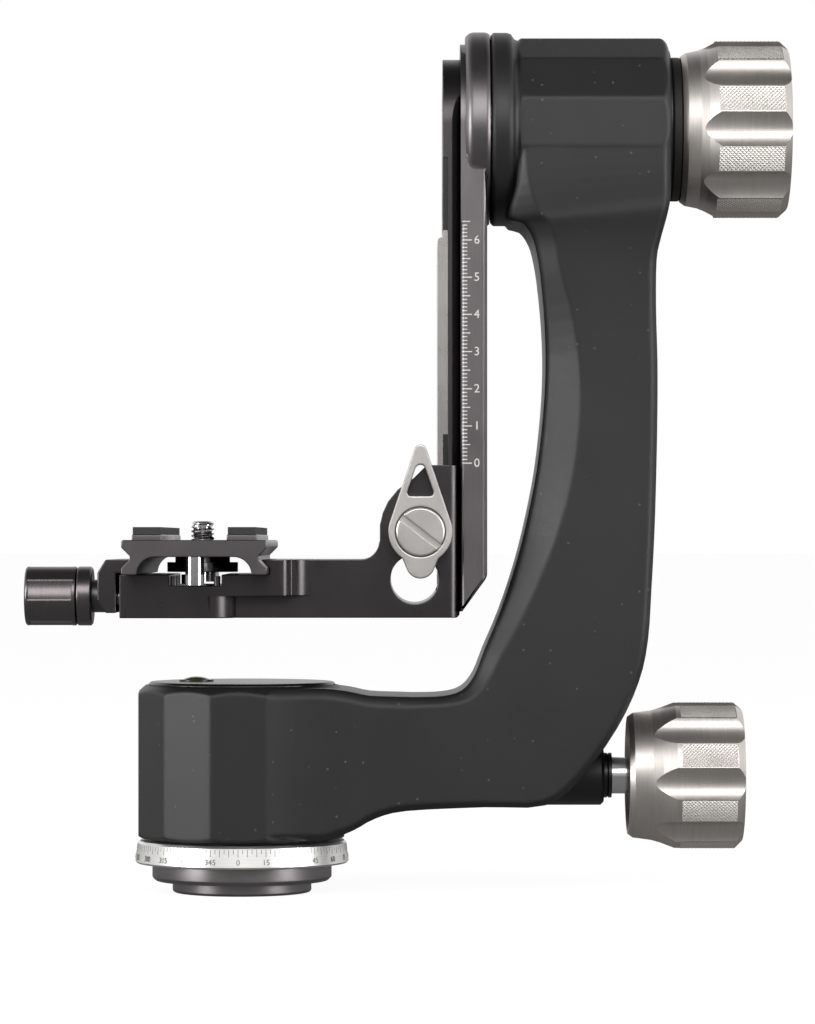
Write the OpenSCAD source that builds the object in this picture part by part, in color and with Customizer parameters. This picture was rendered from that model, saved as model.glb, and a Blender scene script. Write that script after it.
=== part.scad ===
// Gimbal tripod head: an L-shaped swing arm turns on a base, and a camera cradle hangs from its top.
// Millimetres, +Z up. The origin is the middle of the base's contact face, on the pan axis.
// +X points along the tilt axis from the cradle to the tilt knob, and +Y points to the back.

/* [Layout] */
// Height of the tilt axis above the contact face
tilt_z = 208.8; // [185:0.1:260]
// Distance from the pan axis to the arm's tilt face
arm_x = 68; // [60:0.1:90]
// Height of the pan lock's axis above the contact face
lock_z = 31.9; // [30:0.1:34]
// Left-right place of the camera plate's middle
camera_x = -10.8; // [-18:0.1:-4]
// Height of the cradle's underside when it stands at zero on the scale
cradle_z = 75.4; // [70:0.1:90]

/* [Base] */
// Radius of the base's neck
neck_r = 19; // [16:0.1:22]
// Height of the base's neck
neck_h = 3.2; // [2:0.1:5]
// Radius of the base's flange
flange_r = 24.55; // [23:0.05:27]
// Height of the flange's top face
flange_top = 8.1; // [7:0.1:8.6]
// Radius of the boss that centres the degree ring
ring_boss_r = 20; // [18:0.1:21.5]
// Radius of the degree ring at its foot
ring_r = 29.2; // [27:0.1:32]
// Radius of the degree ring at its top
ring_top_r = 28.5; // [26.5:0.1:31]
// Height of the degree ring's top face
ring_top = 14.2; // [13:0.1:14.3]
// Radius of the threaded bush in the base
bush_r = 7; // [6:0.1:9]
// Radius of the tripod thread, measured on the tapped wall
tripod_thread_r = 3.97; // [3:0.01:4.5]

/* [Bearings] */
// Radius of the shafts inside the bearings
shaft_r = 10; // [9:0.1:11]
// Radius of the bearings' inner rings
race_in_r = 13.2; // [12.8:0.1:13.6]
// Radius of the holes in the bearings' outer rings
race_out_r = 15.5; // [15.2:0.1:16]
// Outer radius of the bearings
bearing_r = 18.5; // [18:0.1:19.5]
// Width of a bearing
bearing_w = 9; // [7:0.1:10]
// Radius of a bearing ball
ball_r = 2.38; // [2:0.01:2.5]
// Number of balls in a bearing
ball_count = 12; // [8:1:14]
// Radial gap between a ball and its track
ball_gap = 0.06; // [0.03:0.01:0.1]
// Wall of the metal sleeves that hold the bearings
sleeve_wall = 2; // [1.5:0.1:2.5]

/* [Arm] */
// Distance from the pan axis to each of the pan barrel's twelve flats
pan_flat = 28; // [27:0.1:32]
// Height of the pan barrel's foot
pan_foot = 15; // [14.9:0.1:16]
// Height of the pan barrel's top
pan_top = 56.7; // [54:0.1:64]
// Distance from the tilt axis to each of the tilt barrel's twelve flats
tilt_flat = 24.3; // [23.5:0.1:28]
// Length of the tilt barrel with its flange
tilt_barrel_len = 48.5; // [46:0.1:56]
// Radius of the round flange that faces the cradle
tilt_flange_r = 26.4; // [25:0.1:30]
// Thickness of that flange
tilt_flange_w = 6.3; // [4:0.1:8]
// Half of the limb's width at mid height
limb_half = 20.5; // [18:0.1:23.5]
// Depth of the broad bevel along the limb's inner edge
limb_bevel = 4.2; // [2:0.1:6]
// Radius of the top cap
cap_r = 25.6; // [24:0.1:27]
// Thickness of the top cap's rim
cap_h = 0.9; // [0.6:0.1:2]
// Radius of the level's cup
level_r = 4.7; // [3.5:0.1:6]

/* [Pan lock] */
// Radius of the guide boss in the arm
boss_r = 8.15; // [7:0.05:9]
// How far the boss's end stands out beyond the arm's tilt face
boss_out = 31; // [30:0.1:33]
// Radius of the lock's bright stud
stud_r = 5.05; // [4:0.05:6]
// Radius of the push rod inside the arm
rod_r = 4; // [3:0.1:4.5]
// How far the pan knob's near face stands out beyond the arm's tilt face
pan_knob_out = 37.6; // [36:0.1:44]
// Length of the pan knob
pan_knob_len = 31.2; // [26:0.1:36]
// Grip radius of the pan knob
pan_knob_r = 20; // [17:0.1:23]
// Rim radius of the pan knob
pan_rim_r = 17.1; // [15:0.1:17.6]
// Length of the pan knob's flare between rim and grip
pan_flare = 11.5; // [9:0.1:14]
// Number of finger grooves on the pan knob
pan_grooves = 8; // [5:1:10]
// Radius of the pan knob's finger grooves
pan_groove_r = 6.6; // [5.5:0.1:7.4]
// Depth of the finger grooves in both big knobs
groove_d = 2.1; // [1.2:0.1:2.6]

/* [Tilt lock] */
// Radius of the pressure disc
disc_r = 19.65; // [17:0.05:22]
// Thickness of the pressure disc
disc_w = 2.9; // [2:0.1:4]
// Radius of the tilt shaft's threaded end
tilt_thread_r = 6; // [5:0.1:7]
// Length of the tilt knob
tilt_knob_len = 29.2; // [26:0.1:34]
// Grip radius of the tilt knob
tilt_knob_r = 24; // [21:0.1:27]
// Rim radius of the tilt knob
tilt_rim_r = 20.85; // [18:0.05:21.5]
// Length of the tilt knob's flare between rim and grip
tilt_flare = 8.8; // [7:0.1:12]
// Number of finger grooves on the tilt knob
tilt_grooves = 9; // [6:1:11]
// Radius of the tilt knob's finger grooves
tilt_groove_r = 7.1; // [6:0.1:7.8]

/* [Tilt plate and rail] */
// Radius of the plate's round hub
hub_r = 26.5; // [25:0.1:29]
// Thickness of the round hub
hub_w = 6.6; // [5:0.1:7.2]
// Thickness of the plate below the hub
plate_w = 7.1; // [6.5:0.1:9]
// Half of the plate's width
plate_half = 23.2; // [21:0.1:25]
// How far the plate's lower end stands above the cradle's underside
plate_lift = 1.6; // [0.5:0.1:4]
// Height of the corner cut at the plate's lower end
corner_cut = 9.4; // [4:0.1:11]
// Half of the dovetail rail's width
rail_half = 19.05; // [17:0.05:20.5]
// Thickness of the dovetail rail
rail_w = 4.8; // [4.2:0.1:6]
// Width of the flat lip along the rail's edge
rail_lip = 2.5; // [1.5:0.1:3]
// Length of the rail's wear bar where it is let into the rail
bar_len = 55; // [30:1:60]
// How far the wear bar stands proud of the rail
bar_proud = 1.4; // [0.5:0.1:2]
// Thickness of the dark liner strips let into the rail
bar_seat = 1.3; // [0.8:0.1:1.6]

/* [Cradle] */
// Height of the cradle's beam
beam_h = 15.7; // [14:0.1:20]
// Height of the cradle's upright part, from its underside
upright_h = 41.1; // [38:0.1:50]
// Half of the cradle's width at the beam
beam_half = 23.2; // [22:0.1:25]
// Half of the clamp block's width
clamp_half = 30; // [27:0.1:36]
// Height of the clamp's lower step
step_h = 5.9; // [4:0.1:6]
// Depth of the camera plate's seat in the clamp
seat_d = 4; // [3:0.1:5]
// Radius of the hole through the beam's corner
hole_r = 6.6; // [4:0.1:7]
// Radius of the height lever's ring
lever_r = 8.6; // [8:0.1:10]
// Radius of the slotted cap in the lever
lever_cap_r = 6.6; // [5:0.1:7]
// Length of the height lever above its pivot
lever_len = 23.4; // [20:0.1:30]
// Thickness of the height lever
lever_w = 5.6; // [4:0.1:7]

/* [Quick-release clamp] */
// Thickness of the moving jaw
jaw_w = 5; // [4:0.1:7]
// Gap between the jaw and the clamp block
jaw_gap = 0.9; // [0.5:0.1:1.5]
// Opening travel of the jaw
jaw_travel = 3.5; // [2:0.1:5]
// Radius of the clamp knob
clamp_knob_r = 8.1; // [6.5:0.1:9.5]
// Length of the clamp knob with its collar
clamp_knob_len = 18.4; // [14:0.1:24]
// Radius of the clamp's screw
clamp_screw_r = 2.5; // [2:0.1:2.8]
// Gap between parts that slide on each other
slide_gap = 0.15; // [0.1:0.01:0.25]

/* [Camera plate] */
// Length of the camera plate, front to back
cam_len = 100; // [80:1:140]
// Half of the camera plate's dovetail width
cam_half = 19.15; // [17:0.05:20]
// Thickness of the camera plate
cam_h = 9.2; // [8:0.1:11]
// Depth of the relief under the camera plate
relief_h = 4.7; // [4:0.1:5.2]
// How far the rubber pads stand proud of the plate
pad_proud = 3.4; // [2.2:0.1:4]
// Height of the plate's ribs under the pads
pad_rib = 1.4; // [0.6:0.1:1.8]
// Width of a rubber pad
pad_w = 7.3; // [5.5:0.1:9]
// Radius of the camera screw's thread
cam_thread_r = 3.175; // [3:0.005:4.8]
// Height of the camera screw above the pads
cam_thread_out = 1.7; // [1:0.1:6]

/* [Hidden] */
$fn = 96;
// A small extra length, so that cuts run past the faces they open
cut = 0.6;

// Base stack
boss_top = flange_top + 2.9;
spindle_flange_top = boss_top + 2.9;
bearing_low = spindle_flange_top + 2.1;
drum_len = 15;
bearing_high = bearing_low + bearing_w + drum_len;
washer_h = 1.2;
nut_h = 3.4;
spindle_top = bearing_high + bearing_w + washer_h + nut_h;
sleeve_r = bearing_r + sleeve_wall;
screw_circle = 14;

// Pan lock, along X
boss_end = arm_x + boss_out;
boss_x0 = boss_end - 21;
stud_x0 = boss_x0 - 8;
pan_knob_x = arm_x + pan_knob_out;
knob_recess = 6;
stud_end = pan_knob_x + pan_knob_len - 7;
shoe_x1 = pan_flat - 2;

// Tilt stack, along X from the arm's tilt face
hub_gap = 0.3;
plate_x1 = arm_x - hub_gap - 0.9;
plate_x0 = plate_x1 - plate_w;
hub_x1 = arm_x - hub_gap;
hub_x0 = hub_x1 - hub_w;
rail_x1 = plate_x0;
rail_x0 = rail_x1 - rail_w;
barrel_end = arm_x + tilt_barrel_len;
tilt_bearing_a = arm_x + 12;
tilt_bearing_b = barrel_end - 3.5 - bearing_w;
disc_x0 = barrel_end + 0.5;
disc_x1 = disc_x0 + disc_w;
tilt_knob_x = disc_x1;
shaft_end = tilt_knob_x + 20;

// Cradle
cradle_x1 = plate_x0 - 0.3;
cradle_top = cradle_z + upright_h;
beam_top = cradle_z + beam_h;
seat_z = beam_top - seat_d;
seat_gap = 0.05;
cam_z0 = seat_z + seat_gap;
cam_z1 = cam_z0 + cam_h;
clamp_x0 = camera_x - cam_half - 1.75;
seat_x1 = camera_x + cam_half + slide_gap;
lever_x = cradle_x1 - 10.6;
lever_z = cradle_z + 23.1;
hole_x = cradle_x1 - 12.1;
hole_z = cradle_z + 10.3;
lever_y = -beam_half - 0.2;
screw_z = cradle_z + 5.6;
jaw_x1 = clamp_x0 - jaw_gap;
jaw_x0 = jaw_x1 - jaw_w;
knob_x1 = jaw_x0 - 3.2;
knob_x0 = knob_x1 - clamp_knob_len;
collar_w = 4.5;
pad_z1 = cam_z1 + pad_proud;
rail_foot = cradle_z + plate_lift;
bar_z0 = cradle_top + 8.4;
bar_z1 = bar_z0 + bar_len;
liner_top = max(tilt_z - 9.3, bar_z1 + 4);

// Turns +Z to +X, on the tilt axis. A point's first coordinate then points down.
module on_tilt_axis() {
    translate([0, 0, tilt_z]) rotate([0, 90, 0]) children();
}

// Turns +Z to +X, on the pan lock's axis
module on_lock_axis() {
    translate([0, 0, lock_z]) rotate([0, 90, 0]) children();
}

// Turns +Z to +X, on the clamp screw's axis
module on_clamp_axis() {
    translate([0, 0, screw_z]) rotate([0, 90, 0]) children();
}

// Turns +Z to +Y through the point x, z
module along_y(x, z) {
    translate([x, 0, z]) rotate([-90, 0, 0]) children();
}

// A round bar from z0 to z1
module bar(r, z0, z1) {
    translate([0, 0, z0]) cylinder(r = r, h = z1 - z0);
}

// A tube from z0 to z1
module tube(r_in, r_out, z0, z1) {
    difference() {
        bar(r_out, z0, z1);
        bar(r_in, z0 - cut, z1 + cut);
    }
}

// An outline in X and Z, made half as thick as w to each side of the XZ plane
module front_prism(w) {
    rotate([90, 0, 0]) linear_extrude(height = 2 * w, center = true) children();
}

// Copies the children count times round +Z
module around(count) {
    for (i = [0 : count - 1])
        rotate(360 * i / count) children();
}

// A ball track's ring, cut to the side of the rows of balls
module race(r_in, r_out, z0) {
    track = (race_in_r + race_out_r) / 2;
    difference() {
        tube(r_in, r_out, z0, z0 + bearing_w);
        translate([0, 0, z0 + bearing_w / 2]) rotate_extrude() translate([track, 0]) circle(r = ball_r + ball_gap, $fn = 48);
    }
}

// The balls of one bearing
module balls(z0) {
    track = (race_in_r + race_out_r) / 2;
    around(ball_count) translate([track, 0, z0 + bearing_w / 2]) sphere(r = ball_r, $fn = 32);
}

// A cap screw that points up: head from z0, shank to z1
module cap_screw(r, head_r, head_h, z0, z1) {
    difference() {
        union() {
            bar(head_r, z0, z0 + head_h);
            bar(r, z0 + head_h - 0.01, z1);
        }
        translate([0, 0, z0 - cut]) cylinder(r = r * 0.8, h = head_h * 0.6 + cut, $fn = 6);
    }
}

module base_plate() {
    color("#5f5c62")
    difference() {
        rotate_extrude() polygon([
            [0, 0], [neck_r - 0.5, 0], [neck_r, 0.5], [neck_r, neck_h], [flange_r - 1, neck_h],
            [flange_r, neck_h + 1], [flange_r, flange_top - 0.3], [flange_r - 0.3, flange_top],
            [ring_boss_r, flange_top], [ring_boss_r, boss_top], [0, boss_top]
        ]);
        bar(bush_r, -cut, boss_top + cut);
        around(4) translate([screw_circle, 0, 0]) {
            bar(2.1, -cut, boss_top + cut);
            bar(3.8, -cut, 4.2);
        }
        rotate(bush_screw_turn) translate([0, 0, bush_screw_z]) rotate([0, 90, 0])
            bar(1.6, bush_r - cut, flange_r + cut);
    }
}
bush_screw_z = 5.6;
bush_screw_turn = 125;

module tripod_bush() {
    color("#b9bbbe") tube(tripod_thread_r, bush_r, 0, boss_top);
}

module bush_screw() {
    color("#8a8c90")
    rotate(bush_screw_turn) translate([0, 0, bush_screw_z]) rotate([0, 90, 0]) difference() {
        bar(1.5, bush_r, bush_r + 6);
        translate([0, 0, bush_r + 4.5]) cylinder(r = 0.8, h = 2, $fn = 6);
    }
}

module degree_ring() {
    color("#d9d9d9")
    rotate_extrude() polygon([
        [ring_boss_r, flange_top], [ring_r - 0.5, flange_top], [ring_r, flange_top + 0.5],
        [ring_top_r + 0.1, ring_top - 0.6], [ring_top_r - 0.5, ring_top], [ring_boss_r + 1.5, ring_top],
        [ring_boss_r + 1.5, boss_top], [ring_boss_r, boss_top]
    ]);
}

module pan_spindle() {
    color("#a9abae")
    difference() {
        union() {
            bar(ring_boss_r - 1, boss_top, spindle_flange_top);
            bar(shaft_r + 2, spindle_flange_top - 0.01, bearing_low);
            bar(shaft_r, bearing_low - 0.01, bearing_high + bearing_w);
            bar(shaft_r - 1, bearing_high + bearing_w - 0.01, spindle_top);
        }
        around(4) translate([screw_circle, 0, 0]) bar(2, boss_top - cut, spindle_flange_top + cut);
    }
}

module spindle_screws() {
    color("#6e7073")
    around(4) translate([screw_circle, 0, 0]) cap_screw(2, 3.5, 3.2, 0.9, spindle_flange_top - 0.3);
}

module pan_inner_races() {
    color("#c4c6c9") {
        race(shaft_r, race_in_r, bearing_low);
        race(shaft_r, race_in_r, bearing_high);
    }
}

module pan_outer_races() {
    color("#c4c6c9") {
        race(race_out_r, bearing_r, bearing_low);
        race(race_out_r, bearing_r, bearing_high);
    }
}

module pan_balls() {
    color("#dfe1e4") {
        balls(bearing_low);
        balls(bearing_high);
    }
}

module brake_drum() {
    color("#b08d57") tube(shaft_r, race_in_r, bearing_low + bearing_w, bearing_high);
}

module spindle_washer() {
    color("#8a8c90") tube(shaft_r - 1, race_in_r - 0.4, bearing_high + bearing_w, spindle_top - nut_h);
}

module spindle_nut() {
    color("#8a8c90")
    difference() {
        translate([0, 0, spindle_top - nut_h]) cylinder(r = shaft_r + 3.8, h = nut_h, $fn = 6);
        bar(shaft_r - 1, spindle_top - nut_h - cut, spindle_top + cut);
    }
}

// Stations of the limb, from the tilt barrel down, round the corner and in to the pan barrel.
// Each is [inner x, inner z, outer x, outer z, half width, width of the broad inner bevel].
limb_stations = [
    [arm_x + 7.2, tilt_z - 6.5, barrel_end - 0.3, tilt_z - 6.5, tilt_flat - 0.1, 0.8],
    [arm_x + 6.6, tilt_z - 17, barrel_end - 0.3, tilt_z - 13.5, tilt_flat - 0.4, 2.4],
    [arm_x + 4.4, tilt_z - 25.2, barrel_end - 0.3, tilt_z - 19.5, tilt_flat - 0.8, 7.2],
    [arm_x + 8.4, tilt_z - 27, barrel_end - 0.9, tilt_z - 23.5, limb_half + 2.9, 5.6],
    [arm_x + 10.6, tilt_z - 29.9, barrel_end - 1.9, tilt_z - 27.5, limb_half + 2.3, 4.7],
    [arm_x + 11.9, tilt_z - 33.6, barrel_end - 2.9, tilt_z - 31.2, limb_half + 1.8, 4.4],
    [arm_x + 13.2, tilt_z - 41, barrel_end - 4, tilt_z - 37, limb_half + 1.2, 4.5],
    [arm_x + 14.4, tilt_z - 54, barrel_end - 4.1, tilt_z - 50, limb_half + 0.4, 6.5],
    [arm_x + 14.7, tilt_z - 66, barrel_end - 3.7, tilt_z - 64, limb_half, 8],
    [arm_x + 14.1, tilt_z - 78, barrel_end - 3.7, tilt_z - 78, limb_half - 0.2, 8.8],
    [arm_x + 12.4, pan_top + 59, barrel_end - 4, pan_top + 58, limb_half - 0.2, 8.8],
    [arm_x + 9.9, pan_top + 46, barrel_end - 4.5, pan_top + 42, limb_half, 8],
    [arm_x + 6.8, pan_top + 33.5, barrel_end - 5.3, pan_top + 27, limb_half + 0.2, 6.5],
    [arm_x + 2.5, pan_top + 20.5, barrel_end - 6.3, pan_top + 12.5, limb_half + 0.5, 5],
    [arm_x - 1.9, pan_top + 10, barrel_end - 8.8, pan_top + 1.3, limb_half + 0.7, 3.6],
    [arm_x - 4.6, pan_top + 3.2, barrel_end - 14.6, lock_z + 13.7, limb_half + 0.9, 2.8],
    [arm_x - 8, pan_top - 0.9, barrel_end - 24.4, lock_z + 0.2, limb_half + 1.1, 2.2],
    [arm_x - 13, pan_top - 2.4, barrel_end - 34, pan_foot + 9.8, limb_half + 1.3, 1.8],
    [arm_x - 20, pan_top - 2.7, arm_x - 2, pan_foot + 9.3, limb_half + 1.5, 1.6],
    [pan_flat + 15, pan_top - 2.6, pan_flat + 17, pan_foot + 8.3, limb_half + 1.8, 1.5],
    [pan_flat + 7, pan_top - 2.3, pan_flat + 8.5, pan_foot + 6.2, limb_half + 2.2, 1.4],
    [pan_flat + 1.5, pan_top - 1.2, pan_flat + 2.5, pan_foot + 3, limb_half + 2.7, 1.3],
    [pan_flat - 5, pan_top - 0.4, pan_flat - 5, pan_foot + 0.5, limb_half + 3.4, 1.2],
    [pan_flat - 13, pan_top - 0.4, pan_flat - 13, pan_foot + 0.5, pan_flat - 2.4, 1.2],
    [pan_flat - 20, pan_top - 0.4, pan_flat - 20, pan_foot + 0.5, pan_flat - 0.2, 1.2]
];
limb_steps = 3;

// A smooth curve through four stations, at t from 0 to 1 between the second and the third
function blend4(a, b, c, d, t) =
    0.5 * (2 * b + (c - a) * t + (2 * a - 5 * b + 4 * c - d) * t * t + (3 * b - a - 3 * c + d) * t * t * t);

function station(i) = limb_stations[min(max(i, 0), len(limb_stations) - 1)];

function limb_row(k) =
    let (i = floor(k / limb_steps), t = k / limb_steps - i)
    blend4(station(i - 1), station(i), station(i + 1), station(i + 2), t);

// Ten corners of the limb's section: s runs from the inner edge to the outer edge
function limb_ring(q) =
    let (
        span = norm([q[2] - q[0], q[3] - q[1]]),
        w = q[4],
        b = q[5],
        d = min(limb_bevel, b * 0.55),
        edge = 1.1,
        corners = [
            [0, d + edge - w], [edge, d - w], [b + edge, -w], [span - 1.6, -w], [span, 1.6 - w],
            [span, w - 1.6], [span - 1.6, w], [b + edge, w], [edge, w - d], [0, w - d - edge]
        ]
    )
    [for (c = corners) [
        q[0] + (q[2] - q[0]) * c[0] / span,
        c[1],
        q[1] + (q[3] - q[1]) * c[0] / span
    ]];

module limb() {
    rows = (len(limb_stations) - 1) * limb_steps;
    sides = 10;
    points = [for (k = [0 : rows]) each limb_ring(limb_row(k))];
    walls = [for (k = [0 : rows - 1], j = [0 : sides - 1])
        let (a = k * sides + j, b = k * sides + (j + 1) % sides)
        each [[a, b, b + sides], [a, b + sides, a + sides]]];
    first = [for (j = [1 : sides - 2]) [0, j + 1, j]];
    last = [for (j = [1 : sides - 2]) [rows * sides, rows * sides + j, rows * sides + j + 1]];
    polyhedron(points = points, faces = concat(walls, first, last));
}

module pan_barrel() {
    intersection() {
        translate([0, 0, pan_foot]) rotate(15) cylinder(r = pan_flat / cos(15), h = pan_top - pan_foot, $fn = 12);
        rotate_extrude() polygon([
            [0, pan_foot], [pan_flat - 0.2, pan_foot], [pan_flat + 1, pan_foot + 0.8],
            [pan_flat + 1, pan_top - 2.2], [pan_flat - 1.6, pan_top], [0, pan_top]
        ]);
    }
}

module tilt_barrel() {
    neck = arm_x + tilt_flange_w;
    on_tilt_axis() {
        intersection() {
            translate([0, 0, arm_x + 2]) rotate(15) cylinder(r = tilt_flat / cos(15), h = tilt_barrel_len - 2, $fn = 12);
            rotate_extrude() {
                polygon([
                    [0, arm_x], [tilt_flat - 0.6, arm_x], [tilt_flat - 0.6, neck + 0.6],
                    [tilt_flat + 1, neck + 2.2], [tilt_flat + 1, barrel_end - 3.5],
                    [tilt_flat - 2.5, barrel_end], [0, barrel_end]
                ]);
                translate([tilt_flat - 2.5, barrel_end - 3.5]) circle(r = 3.5);
            }
        }
        rotate_extrude() polygon([
            [0, arm_x], [tilt_flange_r - 0.8, arm_x], [tilt_flange_r, arm_x + 0.8],
            [tilt_flange_r, neck - 1.8], [tilt_flange_r - 0.4, neck - 0.7], [tilt_flange_r - 1.3, neck - 0.1],
            [tilt_flat + 0.3, neck + 0.3], [tilt_flat - 0.2, neck + 1.5], [0, neck + 1.5]
        ]);
    }
}

module arm() {
    color("#2a2a2c")
    difference() {
        union() {
            pan_barrel();
            tilt_barrel();
            limb();
        }
        bar(sleeve_r, pan_foot - cut, pan_top + cut);
        tube(sleeve_r + 1, sleeve_r + 4, pan_foot - cut, pan_foot + 1);
        on_tilt_axis() {
            bar(flange_recess_r, arm_x - cut, arm_x + flange_recess_d);
            bar(shaft_r + 3, arm_x, tilt_bearing_a);
            bar(sleeve_r, tilt_bearing_a - 1, barrel_end + cut);
            bar(sleeve_r + 1, barrel_end - 2, barrel_end + cut);
        }
        on_lock_axis() {
            bar(rod_r + 0.3, 0, stud_x0 + 1);
            bar(stud_r + 0.3, stud_x0 - 1, boss_x0 + 1);
            bar(boss_r, boss_x0, boss_end + 20);
        }
    }
}
flange_recess_r = 17;
flange_recess_d = 4.5;

module pan_sleeve() {
    color("#9a9ca0")
    difference() {
        union() {
            tube(bearing_r, sleeve_r, bearing_low - 0.6, spindle_top + 0.2);
            tube(bearing_r - 1.4, sleeve_r, pan_foot + 0.2, bearing_low - 0.59);
        }
        on_lock_axis() bar(rod_r + 0.3, 0, sleeve_r + cut);
    }
}

module dust_seal() {
    color("#161616") tube(sleeve_r + 1, sleeve_r + 4, ring_top + 0.25, pan_foot + 1);
}

module top_cap() {
    color("#2b2b2e")
    difference() {
        rotate_extrude() polygon([
            [0, spindle_top + 0.6], [sleeve_r - 3, spindle_top + 0.6], [sleeve_r - 3, spindle_top + 0.2],
            [sleeve_r, spindle_top + 0.2], [sleeve_r, pan_top], [cap_r, pan_top], [cap_r, pan_top + 0.3],
            [cap_r - 0.6, pan_top + cap_h], [0, pan_top + cap_h]
        ]);
        translate([level_x, 0, 0]) bar(level_r, pan_top - 0.8, pan_top + cap_h + cut);
    }
}
level_x = -12.5;

module level_cup() {
    color("#8d8f92")
    translate([level_x, 0, 0]) difference() {
        bar(level_r, pan_top - 0.8, pan_top + cap_h + 0.5);
        bar(level_r - 0.8, pan_top - 0.2, pan_top + cap_h + 0.5 + cut);
    }
}

module level_vial() {
    color("#b7d36a")
    translate([level_x, 0, pan_top - 0.2]) rotate_extrude() intersection() {
        square([level_r - 0.8, cap_h + 1.6]);
        translate([0, cap_h + 1.6 - 9]) circle(r = 9, $fn = 120);
    }
}

module lock_boss() {
    color("#1c1c1e")
    on_lock_axis() rotate_extrude() polygon([
        [stud_r + 0.08, boss_x0], [boss_r, boss_x0], [boss_r, boss_end - 0.8],
        [boss_r - 0.8, boss_end], [stud_r + 0.08, boss_end]
    ]);
}

module boss_ring() {
    color("#3a3a3d")
    on_lock_axis() rotate_extrude() polygon([
        [stud_r + 0.08, boss_end], [stud_r + 1.1, boss_end], [stud_r + 1.1, boss_end + 0.9],
        [stud_r + 0.7, boss_end + 1.1], [stud_r + 1.1, boss_end + 1.3],
        [stud_r + 1.1, boss_end + 2.2], [stud_r + 0.08, boss_end + 2.2]
    ]);
}

module tilt_sleeve() {
    color("#9a9ca0")
    on_tilt_axis() difference() {
        bar(sleeve_r, tilt_bearing_a - 1, barrel_end - 2);
        bar(bearing_r, tilt_bearing_a, barrel_end);
        bar(bearing_r - 1.4, tilt_bearing_a - 2, tilt_bearing_a + 1);
    }
}

module tilt_outer_races() {
    color("#c4c6c9")
    on_tilt_axis() {
        race(race_out_r, bearing_r, tilt_bearing_a);
        race(race_out_r, bearing_r, tilt_bearing_b);
    }
}

module tilt_inner_races() {
    color("#c4c6c9")
    on_tilt_axis() {
        race(shaft_r, race_in_r, tilt_bearing_a);
        race(shaft_r, race_in_r, tilt_bearing_b);
    }
}

module tilt_balls() {
    color("#dfe1e4")
    on_tilt_axis() {
        balls(tilt_bearing_a);
        balls(tilt_bearing_b);
    }
}

module friction_ring() {
    color("#141414")
    on_tilt_axis() tube(bearing_r - 2, sleeve_r + 1, barrel_end - 2, disc_x0 - 0.15);
}

module brake_rod() {
    color("#9c9ea1") on_lock_axis() bar(rod_r, shoe_x1, stud_x0);
}

module brake_shoe() {
    color("#e6e2d6")
    difference() {
        on_lock_axis() bar(rod_r, race_in_r - 1, shoe_x1);
        bar(race_in_r + 0.15, lock_z - 8, lock_z + 8);
    }
}

// A hand knob: rim, flare and grip, with finger grooves that run out on the flare.
// It runs from x0 along +X, and first is the angle of its first groove.
module hand_knob(x0, length, rim, grip, flare_x, grooves, groove_r, first) {
    difference() {
        rotate_extrude() polygon([
            [0, x0], [rim - 1, x0], [rim, x0 + 1.4], [rim + 0.25, x0 + flare_x * 0.3],
            [rim + (grip - rim) * 0.22, x0 + flare_x * 0.55], [rim + (grip - rim) * 0.48, x0 + flare_x * 0.78],
            [grip, x0 + flare_x + 1.2], [grip, x0 + length - 2], [grip - 2, x0 + length], [0, x0 + length]
        ]);
        for (i = [0 : grooves - 1])
            rotate(first + 360 * i / grooves)
            translate([grip - groove_d + groove_r, 0, 0])
            bar(groove_r, x0 + 1.5, x0 + length + cut);
    }
}

module pan_knob() {
    color("#c9c5c1")
    on_lock_axis() difference() {
        hand_knob(pan_knob_x, pan_knob_len, pan_rim_r, pan_knob_r, pan_flare, pan_grooves, pan_groove_r, -86.1);
        bar(stud_r, pan_knob_x - cut, stud_end);
        bar(pan_rim_r - 2.3, pan_knob_x - cut, pan_knob_x + knob_recess);
        bar(4.6, stud_end - cut, pan_knob_x + pan_knob_len + cut);
    }
}

module pan_stud() {
    color("#b4b6b9")
    on_lock_axis() difference() {
        bar(stud_r, stud_x0, stud_end);
        bar(1.7, stud_end - 9, stud_end + cut);
    }
}

module pan_knob_screw() {
    color("#5c5e61")
    on_lock_axis() mirror([0, 0, 1]) cap_screw(1.7, 4.5, 3.4, -stud_end - 3.4, -stud_end + 8);
}

module tilt_plate() {
    color("#4b494a")
    difference() {
        union() {
            on_tilt_axis() rotate_extrude() polygon([
                [0, hub_x0], [hub_r - 1.3, hub_x0], [hub_r, hub_x0 + 1.3],
                [hub_r, hub_x1 - 0.5], [hub_r - 0.5, hub_x1], [0, hub_x1]
            ]);
            intersection() {
                on_tilt_axis() translate([0, 0, plate_x0]) linear_extrude(height = plate_w) {
                    circle(r = plate_half);
                    translate([0, -plate_half]) square([tilt_z - rail_foot, 2 * plate_half]);
                }
                front_prism(plate_half + 1) polygon([
                    [plate_x0, rail_foot], [plate_x0 + 0.3, rail_foot], [plate_x1, rail_foot + corner_cut],
                    [plate_x1, tilt_z + plate_half], [plate_x0, tilt_z + plate_half]
                ]);
                translate([0, 0, rail_foot]) linear_extrude(height = tilt_z - rail_foot + plate_half) polygon([
                    [plate_x0, -plate_half], [plate_x1 - 0.8, -plate_half], [plate_x1, 0.8 - plate_half],
                    [plate_x1, plate_half - 0.8], [plate_x1 - 0.8, plate_half], [plate_x0, plate_half]
                ]);
            }
        }
        on_tilt_axis() {
            bar(spigot_r, plate_x0 - cut, arm_x);
            around(4) rotate(45) translate([hub_screw_circle, 0, 0]) {
                bar(2.1, plate_x0 - cut, arm_x);
                bar(3.7, plate_x0 - cut, plate_x0 + 3.4);
            }
        }
        rail_screw_places() bar(2, plate_x0 - cut, plate_x1 - 1.2);
    }
}
spigot_r = 6;
hub_screw_circle = 12;

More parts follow.
